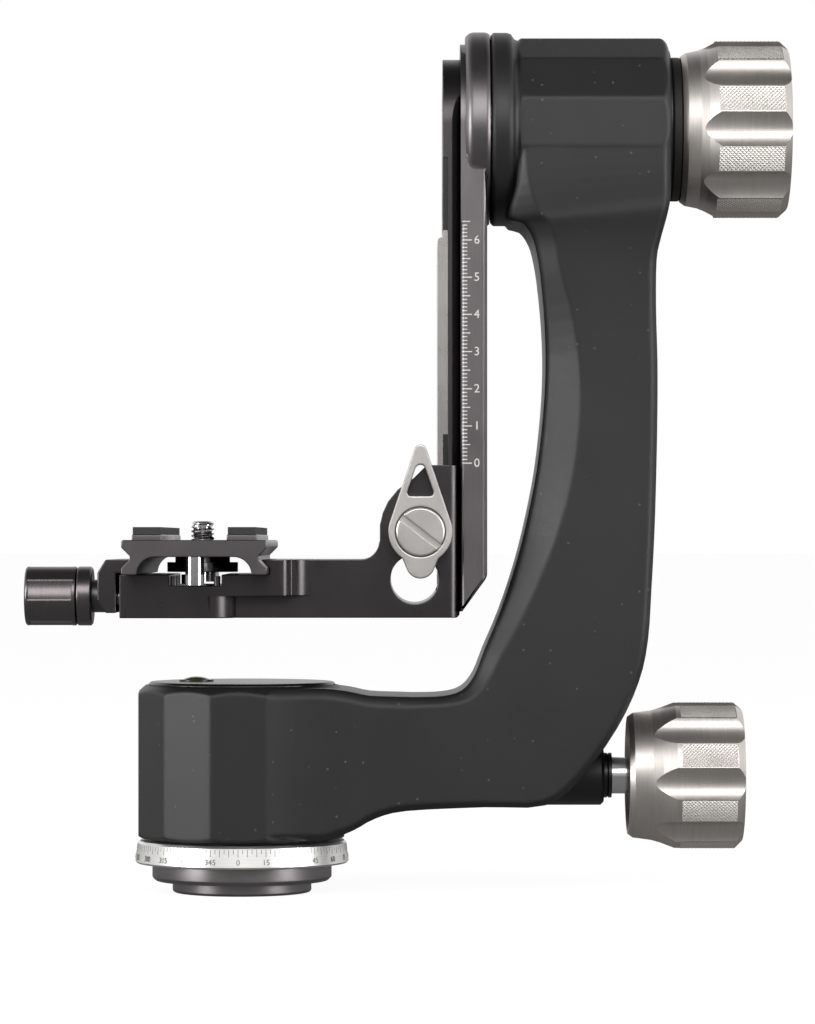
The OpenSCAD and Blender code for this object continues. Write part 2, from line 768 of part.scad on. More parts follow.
// The places of the four screws that hold the rail: two under the cradle's zero place, two at the top
module rail_screw_places() {
    on_tilt_axis()
    for (z = [rail_foot + 12, bar_z0 - 8, bar_z1 + 8, tilt_z + 8])
        translate([tilt_z - z, 0, 0]) children();
}

module tilt_shaft() {
    color("#a9abae")
    difference() {
        on_tilt_axis() {
            bar(spigot_r, plate_x0 + 1, hub_x1 + 0.01);
            bar(flange_recess_r - 0.5, hub_x1, hub_x1 + 4);
            bar(shaft_r + 2, hub_x1 + 3.99, tilt_bearing_a);
            bar(shaft_r, tilt_bearing_a - 0.01, tilt_bearing_b + bearing_w + nut_h);
            bar(tilt_thread_r, tilt_bearing_b + bearing_w + nut_h - 0.01, shaft_end);
        }
        on_tilt_axis() around(4) rotate(45) translate([hub_screw_circle, 0, 0]) bar(2, hub_x1 - cut, hub_x1 + 4.2);
        on_tilt_axis() bar(1.7, shaft_end - 8, shaft_end + cut);
    }
}

module hub_screws() {
    color("#6e7073")
    on_tilt_axis() around(4) rotate(45) translate([hub_screw_circle, 0, 0])
        cap_screw(2, 3.5, 3.2, plate_x0 + 0.2, hub_x1 + 3.8);
}

// The rail's section in X and Y, grown by g at its edges and out to x0 at its back
module rail_section(x0, g) {
    lip_x = rail_x0 + rail_lip;
    neck_half = rail_half - (rail_x1 + 1 - lip_x);
    polygon([
        [x0, -rail_half - g], [lip_x + g * 0.4, -rail_half - g], [rail_x1 + 1, -neck_half - 1.4 * g],
        [rail_x1 + 1, neck_half + 1.4 * g], [lip_x + g * 0.4, rail_half + g], [x0, rail_half + g]
    ]);
}

module dovetail_rail() {
    groove_top = tilt_z + 6;
    cutter_r = 8;
    lip_x = rail_x0 + rail_lip;
    bevel_d = rail_x1 - lip_x;
    color("#3d3b3c")
    difference() {
        on_tilt_axis() translate([0, 0, rail_x0]) linear_extrude(height = rail_w) {
            circle(r = rail_half);
            translate([0, -rail_half]) square([tilt_z - rail_foot, 2 * rail_half]);
        }
        for (side = [-1, 1]) {
            translate([0, 0, rail_foot - cut]) linear_extrude(height = groove_top - rail_foot + cut) polygon([
                [lip_x, side * rail_half], [rail_x1, side * (rail_half - bevel_d)],
                [rail_x1 + cut, side * (rail_half - bevel_d)], [rail_x1 + cut, side * (rail_half + 2)],
                [lip_x, side * (rail_half + 2)]
            ]);
            translate([0, side * (rail_half + cutter_r - bevel_d), groove_top]) rotate([0, 90, 0])
                rotate_extrude() polygon([
                    [0, lip_x], [cutter_r - bevel_d, lip_x], [cutter_r, rail_x1], [cutter_r, rail_x1 + cut],
                    [0, rail_x1 + cut]
                ]);
        }
        translate([rail_x0 - cut, -rail_half - cut, rail_foot - cut])
            cube([bar_seat + cut, 2 * (rail_half + cut), liner_top - rail_foot + cut]);
        rail_screw_places() {
            bar(2.1, rail_x0 - cut, rail_x1 + cut);
            bar(3.7, rail_x0 - cut, rail_x0 + 2.8);
        }
    }
}

module rail_screws() {
    color("#55575a")
    rail_screw_places() cap_screw(2, 3.5, 2.5, rail_x0 + 0.3, plate_x1 - 1.4);
}

// Two dark strips in the rail's recess, below and above the wear bar
module rail_liner() {
    color("#161617")
    difference() {
        for (span = [[rail_foot, bar_z0], [bar_z1, liner_top]])
            translate([rail_x0, -rail_half, span[0]]) cube([bar_seat, 2 * rail_half, span[1] - span[0]]);
        rail_screw_places() bar(3.8, rail_x0 - cut, rail_x1);
    }
}

// The bar fills the recess between the liners, and its thin tongue runs down over the lower one
module wear_bar() {
    proud_x = rail_x0 - bar_proud;
    color("#c9cacb")
    front_prism(rail_half) polygon([
        [rail_x0 + bar_seat, bar_z0], [rail_x0, bar_z0], [rail_x0, rail_foot], [proud_x + 0.4, rail_foot],
        [proud_x, rail_foot + 1], [proud_x, bar_z1 - 2.6], [proud_x + 0.5, bar_z1 - 2],
        [rail_x0, bar_z1 - 1.8], [rail_x0, bar_z1], [rail_x0 + bar_seat, bar_z1]
    ]);
}

module tilt_spacer() {
    color("#8d8f92") on_tilt_axis() tube(shaft_r, race_in_r, tilt_bearing_a + bearing_w, tilt_bearing_b);
}

module tilt_nut() {
    color("#8a8c90")
    on_tilt_axis() difference() {
        translate([0, 0, tilt_bearing_b + bearing_w]) cylinder(r = shaft_r + 3.8, h = nut_h, $fn = 6);
        bar(shaft_r, tilt_bearing_b + bearing_w - cut, barrel_end + cut);
    }
}

module pressure_disc() {
    color("#1b1b1d")
    on_tilt_axis() rotate_extrude() polygon([
        [tilt_thread_r + thread_gap, disc_x0], [disc_r - 0.5, disc_x0], [disc_r, disc_x0 + 0.5],
        [disc_r, disc_x1 - 0.5], [disc_r - 0.5, disc_x1], [tilt_thread_r + thread_gap, disc_x1]
    ]);
}
thread_gap = 0.06;

module tilt_knob() {
    color("#c9c5c1")
    on_tilt_axis() difference() {
        hand_knob(tilt_knob_x, tilt_knob_len, tilt_rim_r, tilt_knob_r, tilt_flare, tilt_grooves, tilt_groove_r, -85.6);
        bar(insert_r, tilt_knob_x - cut, insert_end);
        bar(tilt_thread_r + 2, insert_end - cut, tilt_knob_x + tilt_knob_len + cut);
    }
}
insert_r = 9.5;
insert_end = tilt_knob_x + 17;

module tilt_insert() {
    color("#b08d57") on_tilt_axis() tube(tilt_thread_r + thread_gap, insert_r, tilt_knob_x + 0.1, insert_end);
}

module tilt_knob_screw() {
    color("#5c5e61")
    on_tilt_axis() mirror([0, 0, 1]) cap_screw(1.7, 7.4, 3, -shaft_end - 3, -shaft_end + 7);
}

// Plan of a block from x0 to x1, rounded at its right-hand corners
module right_rounded(x0, x1, half, r) {
    translate([x0, -half]) square([x1 - x0 - r, 2 * half]);
    translate([x0, r - half]) square([x1 - x0, 2 * (half - r)]);
    for (side = [-1, 1])
        translate([x1 - r, side * (half - r)]) circle(r = r, $fn = 64);
}

module cradle_body() {
    gusset_x = cradle_x1 - 21.5;
    // Beam and upright
    intersection() {
        front_prism(beam_half) difference() {
            polygon([
                [clamp_x0 + 4, cradle_z], [cradle_x1 - 0.8, cradle_z], [cradle_x1, cradle_z + 0.8],
                [cradle_x1, cradle_top], [gusset_x + 12.6, cradle_top], [gusset_x + 9.2, cradle_top - 3.4],
                [gusset_x + 4.8, cradle_top - 6.6], [gusset_x + 2.2, cradle_top - 9.8],
                [gusset_x + 0.8, cradle_top - 12.8], [gusset_x, cradle_top - 16.1], [gusset_x, beam_top + 5],
                [gusset_x - 5.2, beam_top], [clamp_x0 + 4, beam_top]
            ]);
            translate([gusset_x - 5.2, beam_top + 5]) circle(r = 5, $fn = 64);
        }
        translate([0, 0, cradle_z]) linear_extrude(height = upright_h)
            right_rounded(clamp_x0, cradle_x1, beam_half, 3.4);
    }
    // Clamp block: a short lower step and a longer upper one
    translate([0, 0, cradle_z]) linear_extrude(height = step_h + 0.01)
        right_rounded(clamp_x0, camera_x + 10, clamp_half, 7.5);
    translate([0, 0, cradle_z + step_h]) linear_extrude(height = beam_h - step_h) {
        right_rounded(clamp_x0, seat_x1 + 5.5, clamp_half, 3);
        difference() {
            translate([seat_x1, -beam_half - 4]) square([11.5, 2 * beam_half + 8]);
            for (side = [-1, 1])
                translate([seat_x1 + 11.5, side * (beam_half + 6)]) circle(r = 6, $fn = 64);
        }
    }
}

module cradle() {
    lean = seat_d;
    color("#4b494a")
    difference() {
        cradle_body();
        // Seat of the camera plate, with the fixed jaw leaning over its right-hand edge
        front_prism(clamp_half + cut) polygon([
            [clamp_x0 - cut, seat_z], [seat_x1, seat_z], [seat_x1, seat_z + 1.7],
            [seat_x1 - (lean - 1.7) - cut, beam_top + cut], [clamp_x0 - cut, beam_top + cut]
        ]);
        // Clearance channel along the seat
        translate([camera_x - 7.6, -clamp_half - cut, seat_z - 3]) cube([14, 2 * (clamp_half + cut), 3 + cut]);
        // Channel for the rail and its wear bar
        translate([0, 0, cradle_z - cut]) linear_extrude(height = upright_h + 2 * cut)
            rail_section(rail_x0 - bar_proud - 0.3, 0.3);
        along_y(hole_x, hole_z) bar(hole_r, -beam_half - cut, beam_half + cut);
        along_y(lever_x, lever_z) bar(lever_stud_r + 0.1, -beam_half - cut, beam_half + cut);
        gib_block(0.1, beam_half + cut);
        on_clamp_axis() {
            bar(clamp_screw_r + 0.1, clamp_x0 - cut, clamp_screw_x1 + 4);
            for (y = [-jaw_pin_y, jaw_pin_y])
                translate([0, y, 0]) bar(2, clamp_x0 - cut, jaw_pin_x1);
        }
        seat_pin_places() bar(0.9, seat_z - 4.5, seat_z);
    }
}
jaw_pin_y = 20;
jaw_pin_x1 = clamp_x0 + 6.5 + jaw_travel;
clamp_screw_x1 = clamp_x0 + 16 + jaw_travel;
lever_stud_r = 3;

module jaw_pins() {
    color("#b9bbbe")
    on_clamp_axis() for (y = [-jaw_pin_y, jaw_pin_y])
        translate([0, y, 0]) bar(2, jaw_x0 + 1.2, jaw_pin_x1);
}

module seat_pin_places() {
    for (x = [camera_x - 6.4, camera_x + 5.2], y = [1.6 - clamp_half, clamp_half - 1.6])
        translate([x, y, 0]) children();
}

module seat_pins() {
    color("#c4c6c9") seat_pin_places() bar(0.9, seat_z - 4.5, seat_z - 0.4);
}

// The pocket and the block of the clamping gib, at the back of the upright
module gib_block(g, y1) {
    translate([lever_x - 5.2 - g, rail_half - 3.2 - g, lever_z - gib_below - g])
        cube([cradle_x1 - lever_x + 5.2 + (g > 0 ? 1 : -0.2) + g, y1 - rail_half + 3.2 + g, gib_h + 2 * g]);
}

gib_below = 5.6;
gib_h = 17.6;

module height_gib() {
    color("#7c7a78")
    difference() {
        gib_block(0, beam_half - 0.5);
        translate([0, 0, cradle_z - cut]) linear_extrude(height = upright_h + 2 * cut)
            rail_section(rail_x0 - bar_proud - 0.3, slide_gap);
        along_y(lever_x, lever_z) bar(lever_stud_r + 0.08, 0, beam_half + cut);
    }
}

module height_lever() {
    tip_r = 1.7;
    tail_r = 3.9;
    color("#a5a3a1")
    along_y(lever_x, lever_z) mirror([0, 1, 0]) difference() {
        translate([0, 0, lever_y - lever_w]) linear_extrude(height = lever_w) difference() {
            union() {
                hull() {
                    circle(r = lever_r, $fn = 96);
                    translate([0, lever_len - tip_r]) circle(r = tip_r, $fn = 48);
                }
                hull() {
                    circle(r = lever_r - 1.4, $fn = 96);
                    translate([0, -8.6]) circle(r = tail_r, $fn = 48);
                }
            }
            hull() {
                for (x = [-2.5, 2.5])
                    translate([x, lever_cap_r + 4]) circle(r = 1, $fn = 32);
                translate([0, lever_len - 6.8]) circle(r = 1.4, $fn = 32);
            }
        }
        bar(lever_cap_r + 0.1, lever_y - lever_w - cut, lever_y - 1.6);
        bar(lever_stud_r, lever_y - 1.7, lever_y + cut);
    }
}

module lever_cap() {
    color("#d5d3d1")
    along_y(lever_x, lever_z) mirror([0, 1, 0]) difference() {
        rotate_extrude() polygon([
            [0, lever_y - lever_w - 0.5], [lever_cap_r - 0.4, lever_y - lever_w - 0.5],
            [lever_cap_r, lever_y - lever_w - 0.1], [lever_cap_r, lever_y - 1.6], [0, lever_y - 1.6]
        ]);
        translate([0, 0, lever_y - lever_w]) rotate(-38) cube([16, 1.6, 2], center = true);
    }
}

module lever_stud() {
    color("#8a8c90") along_y(lever_x, lever_z) bar(lever_stud_r, lever_y - 1.6, beam_half - 1.2);
}

module clamp_jaw() {
    hook_x = camera_x - cam_half - slide_gap;
    color("#4b494a")
    difference() {
        front_prism(clamp_half) polygon([
            [jaw_x1, cradle_z + 1.4], [jaw_x0 + 2.2, cradle_z + 1.4], [jaw_x0, cradle_z + 4.8],
            [jaw_x0, beam_top - 3.5], [jaw_x0 + 2.2, beam_top], [hook_x + seat_d - 1.7, beam_top],
            [hook_x, seat_z + 1.7], [hook_x, seat_z + 0.3], [jaw_x1, seat_z + 0.3]
        ]);
        on_clamp_axis() {
            bar(clamp_screw_r + 0.1, jaw_x0 - cut, jaw_x1 + cut);
            for (y = [-jaw_pin_y, jaw_pin_y])
                translate([0, y, 0]) bar(2.08, jaw_x0 + 1, jaw_x1 + cut);
        }
    }
}

module clamp_knob() {
    color("#77757a")
    on_clamp_axis() difference() {
        rotate_extrude() polygon([
            [0, knob_x0], [clamp_knob_r - 0.5, knob_x0], [clamp_knob_r, knob_x0 + 0.5],
            [clamp_knob_r, knob_x1 - collar_w], [0, knob_x1 - collar_w]
        ]);
        around(4) rotate(-102.5) translate([clamp_knob_r - 0.9 + clamp_groove_r, 0, 0])
            bar(clamp_groove_r, knob_x0 + 1.1, knob_x1 - collar_w - 1.2);
        bar(clamp_screw_r, knob_x0 + 4, knob_x1);
    }
}

clamp_groove_r = 9.2;

module clamp_collar() {
    color("#807d80")
    on_clamp_axis() rotate_extrude() polygon([
        [clamp_screw_r, knob_x1 - collar_w], [clamp_knob_r - 0.6, knob_x1 - collar_w],
        [clamp_knob_r, knob_x1 - collar_w + 0.6], [clamp_knob_r, knob_x1 - 0.5],
        [clamp_knob_r - 0.5, knob_x1], [clamp_screw_r, knob_x1]
    ]);
}

module clamp_screw() {
    color("#55555a")
    on_clamp_axis() {
        bar(clamp_screw_r, knob_x0 + 4, clamp_screw_x1);
        bar(4.5, knob_x1, jaw_x0);
    }
}

module camera_plate_body() {
    edge = 2;
    neck = cam_half - 2.25;
    front_prism(cam_len / 2) translate([camera_x, 0]) polygon([
        [-cam_half, cam_z0], [-cam_half, cam_z0 + 1.75], [-neck, cam_z0 + 4], [-neck, cam_z1 - 4.25],
        [-cam_half, cam_z1 - edge], [-cam_half, cam_z1 - 0.4], [0.4 - cam_half, cam_z1],
        [cam_half - 0.4, cam_z1], [cam_half, cam_z1 - 0.4], [cam_half, cam_z1 - edge],
        [neck, cam_z1 - 4.25], [neck, cam_z0 + 4], [cam_half, cam_z0 + 1.75], [cam_half, cam_z0]
    ]);
}

module camera_plate() {
    color("#5b595a")
    difference() {
        union() {
            camera_plate_body();
            pad_places() translate([-pad_w / 2 - 0.3, 1.5 - cam_len / 2, cam_z1 - 1])
                cube([pad_w + 0.6, cam_len - 3, 1 + pad_rib]);
        }
        front_prism(cam_len / 2 + cut) translate([camera_x, cam_z0]) {
            translate([-relief_half, -cut]) square([2 * relief_half, relief_h + cut]);
            for (side = [-1, 1])
                translate([side * relief_half, 0]) circle(r = relief_h, $fn = 64);
        }
        pad_places() translate([-pad_key / 2, 5 - cam_len / 2, cam_z1 - 1]) cube([pad_key, cam_len - 10, 1 + pad_rib + cut]);
        translate([camera_x, 0, 0]) bar(cam_thread_r + 0.15, cam_z0, cam_z1 + cut);
        stop_places() bar(1.5, cam_z0, cam_z1 - 1.2);
    }
}
relief_half = 10.4;
pad_key = 4;

module pad_places() {
    for (x = [camera_x - 12.5, camera_x + 12.5])
        translate([x, 0, 0]) children();
}

module plate_pads() {
    color("#1d1d1e")
    pad_places() {
        translate([-pad_key / 2, 5 - cam_len / 2, cam_z1 - 1]) cube([pad_key, cam_len - 10, 1.5 + pad_rib]);
        translate([-pad_w / 2, 1.5 - cam_len / 2, cam_z1 + pad_rib]) cube([pad_w, cam_len - 3, pad_proud - pad_rib]);
    }
}

module stop_places() {
    for (y = [4.5 - cam_len / 2, cam_len / 2 - 4.5])
        translate([camera_x, y, 0]) children();
}

module plate_stops() {
    color("#c4c6c9")
    stop_places() {
        bar(2.5, seat_z - 2.6, cam_z0 + relief_h);
        bar(1.5, cam_z0 + relief_h - 0.01, cam_z1 - 1.5);
    }
}

module camera_screw() {
    color("#8a8c90")
    translate([camera_x, 0, 0]) difference() {
        union() {
            bar(9.7, seat_z + 0.5, seat_z + 3.2);
            bar(7.5, seat_z + 3.19, cam_z0 + relief_h - 0.08);
            bar(cam_thread_r - 0.2, cam_z0 + relief_h - 0.1, cam_z1 + 0.2);
            bar(cam_thread_r, cam_z1 + 0.19, pad_z1 + cam_thread_out);
        }
        translate([0, 0, seat_z + 0.9]) cube([20, 1.6, 1.6], center = true);
    }
}

base_plate();
tripod_bush();
bush_screw();
degree_ring();
pan_spindle();
spindle_screws();
pan_inner_races();
pan_balls();
brake_drum();
spindle_washer();
spindle_nut();
arm();
pan_sleeve();
pan_outer_races();
dust_seal();
top_cap();
level_cup();
level_vial();
lock_boss();
boss_ring();
tilt_sleeve();
tilt_outer_races();
friction_ring();
brake_rod();
brake_shoe();
pan_knob();
pan_stud();
pan_knob_screw();
tilt_plate();
tilt_shaft();
hub_screws();
dovetail_rail();
rail_screws();
rail_liner();
wear_bar();
tilt_inner_races();
tilt_balls();
tilt_spacer();
tilt_nut();
pressure_disc();
tilt_knob();
tilt_insert();
tilt_knob_screw();
cradle();
jaw_pins();
seat_pins();
height_gib();
height_lever();
lever_cap();
lever_stud();
clamp_jaw();
clamp_knob();
clamp_collar();
clamp_screw();
camera_plate();
plate_pads();
plate_stops();
camera_screw();
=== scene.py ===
import math
import bpy
import bmesh
from mathutils import Matrix, Vector
from mathutils.bvhtree import BVHTree


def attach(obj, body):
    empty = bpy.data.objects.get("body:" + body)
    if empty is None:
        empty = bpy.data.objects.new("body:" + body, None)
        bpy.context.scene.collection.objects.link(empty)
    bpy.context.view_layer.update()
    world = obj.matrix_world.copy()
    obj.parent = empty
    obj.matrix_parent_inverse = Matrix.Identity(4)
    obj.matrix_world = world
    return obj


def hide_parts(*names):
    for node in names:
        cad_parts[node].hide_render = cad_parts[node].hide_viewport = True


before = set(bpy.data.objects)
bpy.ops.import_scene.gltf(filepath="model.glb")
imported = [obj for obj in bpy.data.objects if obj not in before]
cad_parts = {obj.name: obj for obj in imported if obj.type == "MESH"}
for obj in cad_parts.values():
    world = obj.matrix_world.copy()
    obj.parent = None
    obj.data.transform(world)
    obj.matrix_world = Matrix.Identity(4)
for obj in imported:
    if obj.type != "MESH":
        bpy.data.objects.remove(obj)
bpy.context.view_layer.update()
MM = 0.001
PAN_LOCK_Z = 31.9
TILT_AXIS_Z = 208.8
SHARP_ANGLE = math.radians(28)

# ---------------------------------------------------------------- Studio
# A pale floor that reads as white, a surround that is white behind and beside the object and darker
# toward the camera and overhead, and three soft lamps: one above the camera and one at each side.
def linear(hex_colour):
    """The linear value of an sRGB hex colour."""
    channels = [int(hex_colour[i:i + 2], 16) / 255 for i in (1, 3, 5)]
    return [c / 12.92 if c <= 0.04045 else ((c + 0.055) / 1.055) ** 2.4 for c in channels] + [1]


def add(tree, kind, inputs, **settings):
    """Adds a node, sets it up, and gives each input a value or another node's output."""
    made = tree.nodes.new("ShaderNode" + kind)
    for name, value in settings.items():
        setattr(made, name, value)
    for name, value in inputs.items():
        if isinstance(value, bpy.types.NodeSocket):
            tree.links.new(value, made.inputs[name])
        else:
            made.inputs[name].default_value = value
    return made


def ramp(tree, value, from_min, from_max, to_min, to_max, **settings):
    """The value moved from one range to another."""
    return add(tree, "MapRange", {"Value": value, "From Min": from_min, "From Max": from_max,
                                  "To Min": to_min, "To Max": to_max}, **settings).outputs[0]


def combine(tree, operation, first, second):
    return add(tree, "Math", {0: first, 1: second}, operation=operation).outputs[0]


def background_rays(tree, glossy_share):
    """1 on camera rays and through clear materials, and a share of that in reflections."""
    path = add(tree, "LightPath", {})
    mirrored = combine(tree, "MULTIPLY", path.outputs["Is Glossy Ray"], glossy_share)
    direct = combine(tree, "MAXIMUM", path.outputs["Is Camera Ray"], path.outputs["Is Transmission Ray"])
    return combine(tree, "MAXIMUM", direct, mirrored), path.outputs["Is Camera Ray"]


scene = bpy.context.scene
scene.view_settings.view_transform = "Standard"
world = bpy.data.worlds.new("studio")
world.use_nodes = True
scene.world = world
sky = world.node_tree
sky.nodes.clear()
shown, to_camera = background_rays(sky, 1.0)
direction = add(sky, "TexCoord", {})
toward = add(sky, "SeparateXYZ", {0: direction.outputs["Generated"]})
steepness = add(sky, "Math", {0: toward.outputs["Z"]}, operation="ABSOLUTE").outputs[0]
by_height = ramp(sky, steepness, 0.5, 0.93, 1.0, 0.12, interpolation_type="SMOOTHSTEP")
by_side = ramp(sky, toward.outputs["Y"], -0.97, 0.1, 0.52, 1.0, interpolation_type="SMOOTHSTEP")
surround = combine(sky, "MULTIPLY", by_height, by_side)
plain = add(sky, "Mix", {0: to_camera, 2: surround, 3: 1.0}).outputs[0]
level = add(sky, "Mix", {0: shown, 2: 0.36, 3: plain}).outputs[0]
air = add(sky, "Background", {"Color": linear("#ffffff"), "Strength": level})
add(sky, "OutputWorld", {"Surface": air.outputs[0]})


def softbox(name, place, size, watts):
    lamp = bpy.data.lights.new(name, "AREA")
    lamp.shape = "RECTANGLE"
    lamp.size, lamp.size_y = size
    lamp.energy = watts
    holder = bpy.data.objects.new(name, lamp)
    holder.location = place
    aim = Vector((0.045, 0, 0.11)) - Vector(place)
    holder.rotation_euler = aim.to_track_quat("-Z", "Y").to_euler()
    scene.collection.objects.link(holder)


softbox("key_above_camera", (0.05, -1.2, 0.72), (1.2, 0.6), 8)
softbox("left_side", (-1.05, -0.62, 0.22), (0.5, 0.85), 12)
softbox("right_side", (1.1, -0.62, 0.22), (0.5, 0.85), 10)

floor_mesh = bpy.data.meshes.new("floor")
shape = bmesh.new()
bmesh.ops.create_grid(shape, x_segments=1, y_segments=1, size=30)
shape.to_mesh(floor_mesh)
shape.free()
floor = bpy.data.objects.new("floor", floor_mesh)
scene.collection.objects.link(floor)
paper = bpy.data.materials.new("matt_paper_floor")
paper.use_nodes = True
tree = paper.node_tree
tree.nodes.clear()
shown, to_camera = background_rays(tree, 0.1)
lit = add(tree, "BsdfDiffuse", {"Color": linear("#747473")})
glow_share = combine(tree, "MULTIPLY", shown, 0.92)
glow = add(tree, "Emission", {"Color": linear("#ffffff"), "Strength": glow_share})
both = add(tree, "AddShader", {0: lit.outputs[0], 1: glow.outputs[0]})
add(tree, "OutputMaterial", {"Surface": both.outputs[0]})
floor_mesh.materials.append(paper)

# The camera stands 1.2 m in front of the pan axis, a little under half height, level, with a long lens.
view = bpy.data.cameras.new("front")
view.lens = 153.9
view.sensor_width = 36
view.shift_x = 0.0005
view.shift_y = 0.0273
camera = bpy.data.objects.new("front", view)
camera.location = (0.0452, -1.2, 0.09635)
camera.rotation_euler = (math.radians(90), 0, 0)
scene.collection.objects.link(camera)
scene.camera = camera


# ---------------------------------------------------------------- Base and degree ring
# The foot is one turned piece of gunmetal anodised aluminium. The degree ring above it is satin
# silver aluminium, with engraved and inked lines and figures round its wall.
def surface(name):
    """A new material, its node tree, its shader and the place on the object that patterns read."""
    made = bpy.data.materials.new(name)
    made.use_nodes = True
    tree = made.node_tree
    tree.nodes.clear()
    shader = add(tree, "BsdfPrincipled", {})
    add(tree, "OutputMaterial", {"Surface": shader.outputs[0]})
    return made, tree, shader, add(tree, "TexCoord", {}).outputs["Object"]


def metal(name, colour, roughness, grain=(1, 1, 1), grain_mm=0.4, depth_mm=0.003, variation=0.1):
    """Bare or anodised metal: fine marks, close together along the large numbers of grain, and a
    slightly uneven gloss."""
    made, tree, shader, place = surface(name)
    shader.inputs["Metallic"].default_value = 1.0
    scales = [g / (grain_mm * MM) for g in grain]
    stretched = add(tree, "Mapping", {"Vector": place, "Scale": scales}).outputs[0]
    marks = add(tree, "TexNoise", {"Vector": stretched, "Scale": 1.0, "Detail": 3.0}).outputs["Fac"]
    cloud = add(tree, "TexNoise", {"Vector": place, "Scale": 1 / (12 * MM), "Detail": 3.0}).outputs["Fac"]
    shade = ramp(tree, marks, 0.25, 0.75, 1 - variation, 1 + variation * 0.6)
    tone = add(tree, "VectorMath", {0: linear(colour)[:3], "Scale": shade}, operation="SCALE").outputs[0]
    tree.links.new(tone, shader.inputs["Base Color"])
    gloss = ramp(tree, cloud, 0.3, 0.7, roughness * 0.88, roughness * 1.15)
    tree.links.new(gloss, shader.inputs["Roughness"])
    bump = add(tree, "Bump", {"Strength": 0.6, "Distance": depth_mm * MM, "Height": marks}).outputs[0]
    tree.links.new(bump, shader.inputs["Normal"])
    return made


def finish(nodes, material):
    """Gives CAD nodes that are shown as they are their material."""
    for node in nodes.split():
        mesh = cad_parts[node].data
        mesh.materials.clear()
        mesh.materials.append(material)


def piece(name, shape, body, material, stands_for=()):
    """Makes an object of a finished bmesh and lets it ride on its body."""
    mesh = bpy.data.meshes.new(name)
    shape.to_mesh(mesh)
    shape.free()
    mesh.polygons.foreach_set("use_smooth", [True] * len(mesh.polygons))
    mesh.set_sharp_from_angle(angle=math.radians(30))
    mesh.materials.append(material)
    made = bpy.data.objects.new(name, mesh)
    scene.collection.objects.link(made)
    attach(made, body)
    if stands_for:
        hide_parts(*stands_for)
    return made


def cad_copy(node):
    """A bmesh copy of a CAD node, with its flat faces merged."""
    shape = bmesh.new()
    shape.from_mesh(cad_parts[node].data)
    bmesh.ops.remove_doubles(shape, verts=shape.verts, dist=0.002 * MM)
    bmesh.ops.dissolve_limit(shape, angle_limit=math.radians(0.4), verts=shape.verts, edges=shape.edges)
    return shape


def round_edges(shape, width, segments, chosen):
    """Rounds the sharp outer edges that the test chooses, by the given width. Corners that the bevel
    pushes out go back onto the surface."""
    skin = BVHTree.FromBMesh(shape)
    sharp = [e for e in shape.edges if len(e.link_faces) == 2 and e.is_convex
             and e.calc_face_angle() > SHARP_ANGLE and chosen(e)]
    bmesh.ops.bevel(shape, geom=sharp, offset=width * MM, offset_type="OFFSET", segments=segments,
                    profile=0.5, affect="EDGES", clamp_overlap=False, material=-1)
    for v in shape.verts:
        spot, normal = skin.find_nearest(v.co)[:2]
        if (v.co - spot).dot(normal) > 0:
            v.co = spot


def eased(name, node, width, body, material, chosen=lambda edge: True, shape=None):
    """Stands for a CAD node: the same shape with its sharp edges rounded off by the given width."""
    shape = shape or cad_copy(node)
    round_edges(shape, width, 2, chosen)
    made = piece(name, shape, body, material, [node])
    weighted = made.modifiers.new("even_flats", "WEIGHTED_NORMAL")
    weighted.keep_sharp = True
    return made


def figures(shape, text, tall, place):
    """Adds a number to a bmesh, as tall as given and centred, after moving it by the matrix."""
    curve = bpy.data.curves.new("figures", "FONT")
    curve.body = text
    curve.size = tall / 0.7
    curve.extrude = 0.015 * MM
    curve.align_x = "CENTER"
    curve.align_y = "CENTER"
    curve.resolution_u = 3
    carrier = bpy.data.objects.new("figures", curve)
    mesh = bpy.data.meshes.new_from_object(carrier)
    mesh.transform(place)
    shape.from_mesh(mesh)
    bpy.data.objects.remove(carrier)
    bpy.data.curves.remove(curve)
    bpy.data.meshes.remove(mesh)


def stroke(shape, wide, tall, place):
    """Adds an engraved line as a thin inlay: wide by tall, after moving it by the matrix."""
    bmesh.ops.create_cube(shape, size=1, matrix=place @ Matrix.Diagonal((wide, tall, 0.03 * MM, 1)))


gunmetal = metal("gunmetal_anodised_aluminium", "#868283", 0.33, (0.05, 0.05, 1), 0.3)
eased("turned_foot", "base_plate", 0.25, "base", gunmetal)

ring_metal = metal("satin_silver_aluminium", "#e6e5e3", 0.34, (0.05, 0.05, 1), 0.3)
finish("degree_ring", ring_metal)
ink, tree, shader, place = surface("grey_engraving_ink")
shader.inputs["Roughness"].default_value = 0.6
patchy = add(tree, "TexNoise", {"Vector": place, "Scale": 1 / (0.6 * MM), "Detail": 2.0}).outputs["Fac"]
patches = ramp(tree, patchy, 0.3, 0.7, 0.0, 1.0)
inked = add(tree, "Mix", {0: patches, 6: linear("#626161"), 7: linear("#7b7a79")}, data_type="RGBA")
tree.links.new(inked.outputs[2], shader.inputs["Base Color"])
shape = bmesh.new()
ring_low, ring_high = 8.6, 13.6
ring_wide, ring_narrow = 29.2, 28.6
figure_z = 9.9
lean = math.atan2(ring_wide - ring_narrow, ring_high - ring_low)
for step in range(144):
    turn = Matrix.Rotation(math.radians(step * 2.5), 4, "Z")
    tall, low = (2.0, 11.4) if step % 2 == 0 else (1.2, 12.2)
    wall = ring_wide - math.tan(lean) * (low + tall / 2 - ring_low)
    out = Matrix.Translation(Vector((0, -wall, low + tall / 2)) * MM)
    stroke(shape, 0.16 * MM, tall * MM, turn @ out @ Matrix.Rotation(math.pi / 2 - lean, 4, "X"))
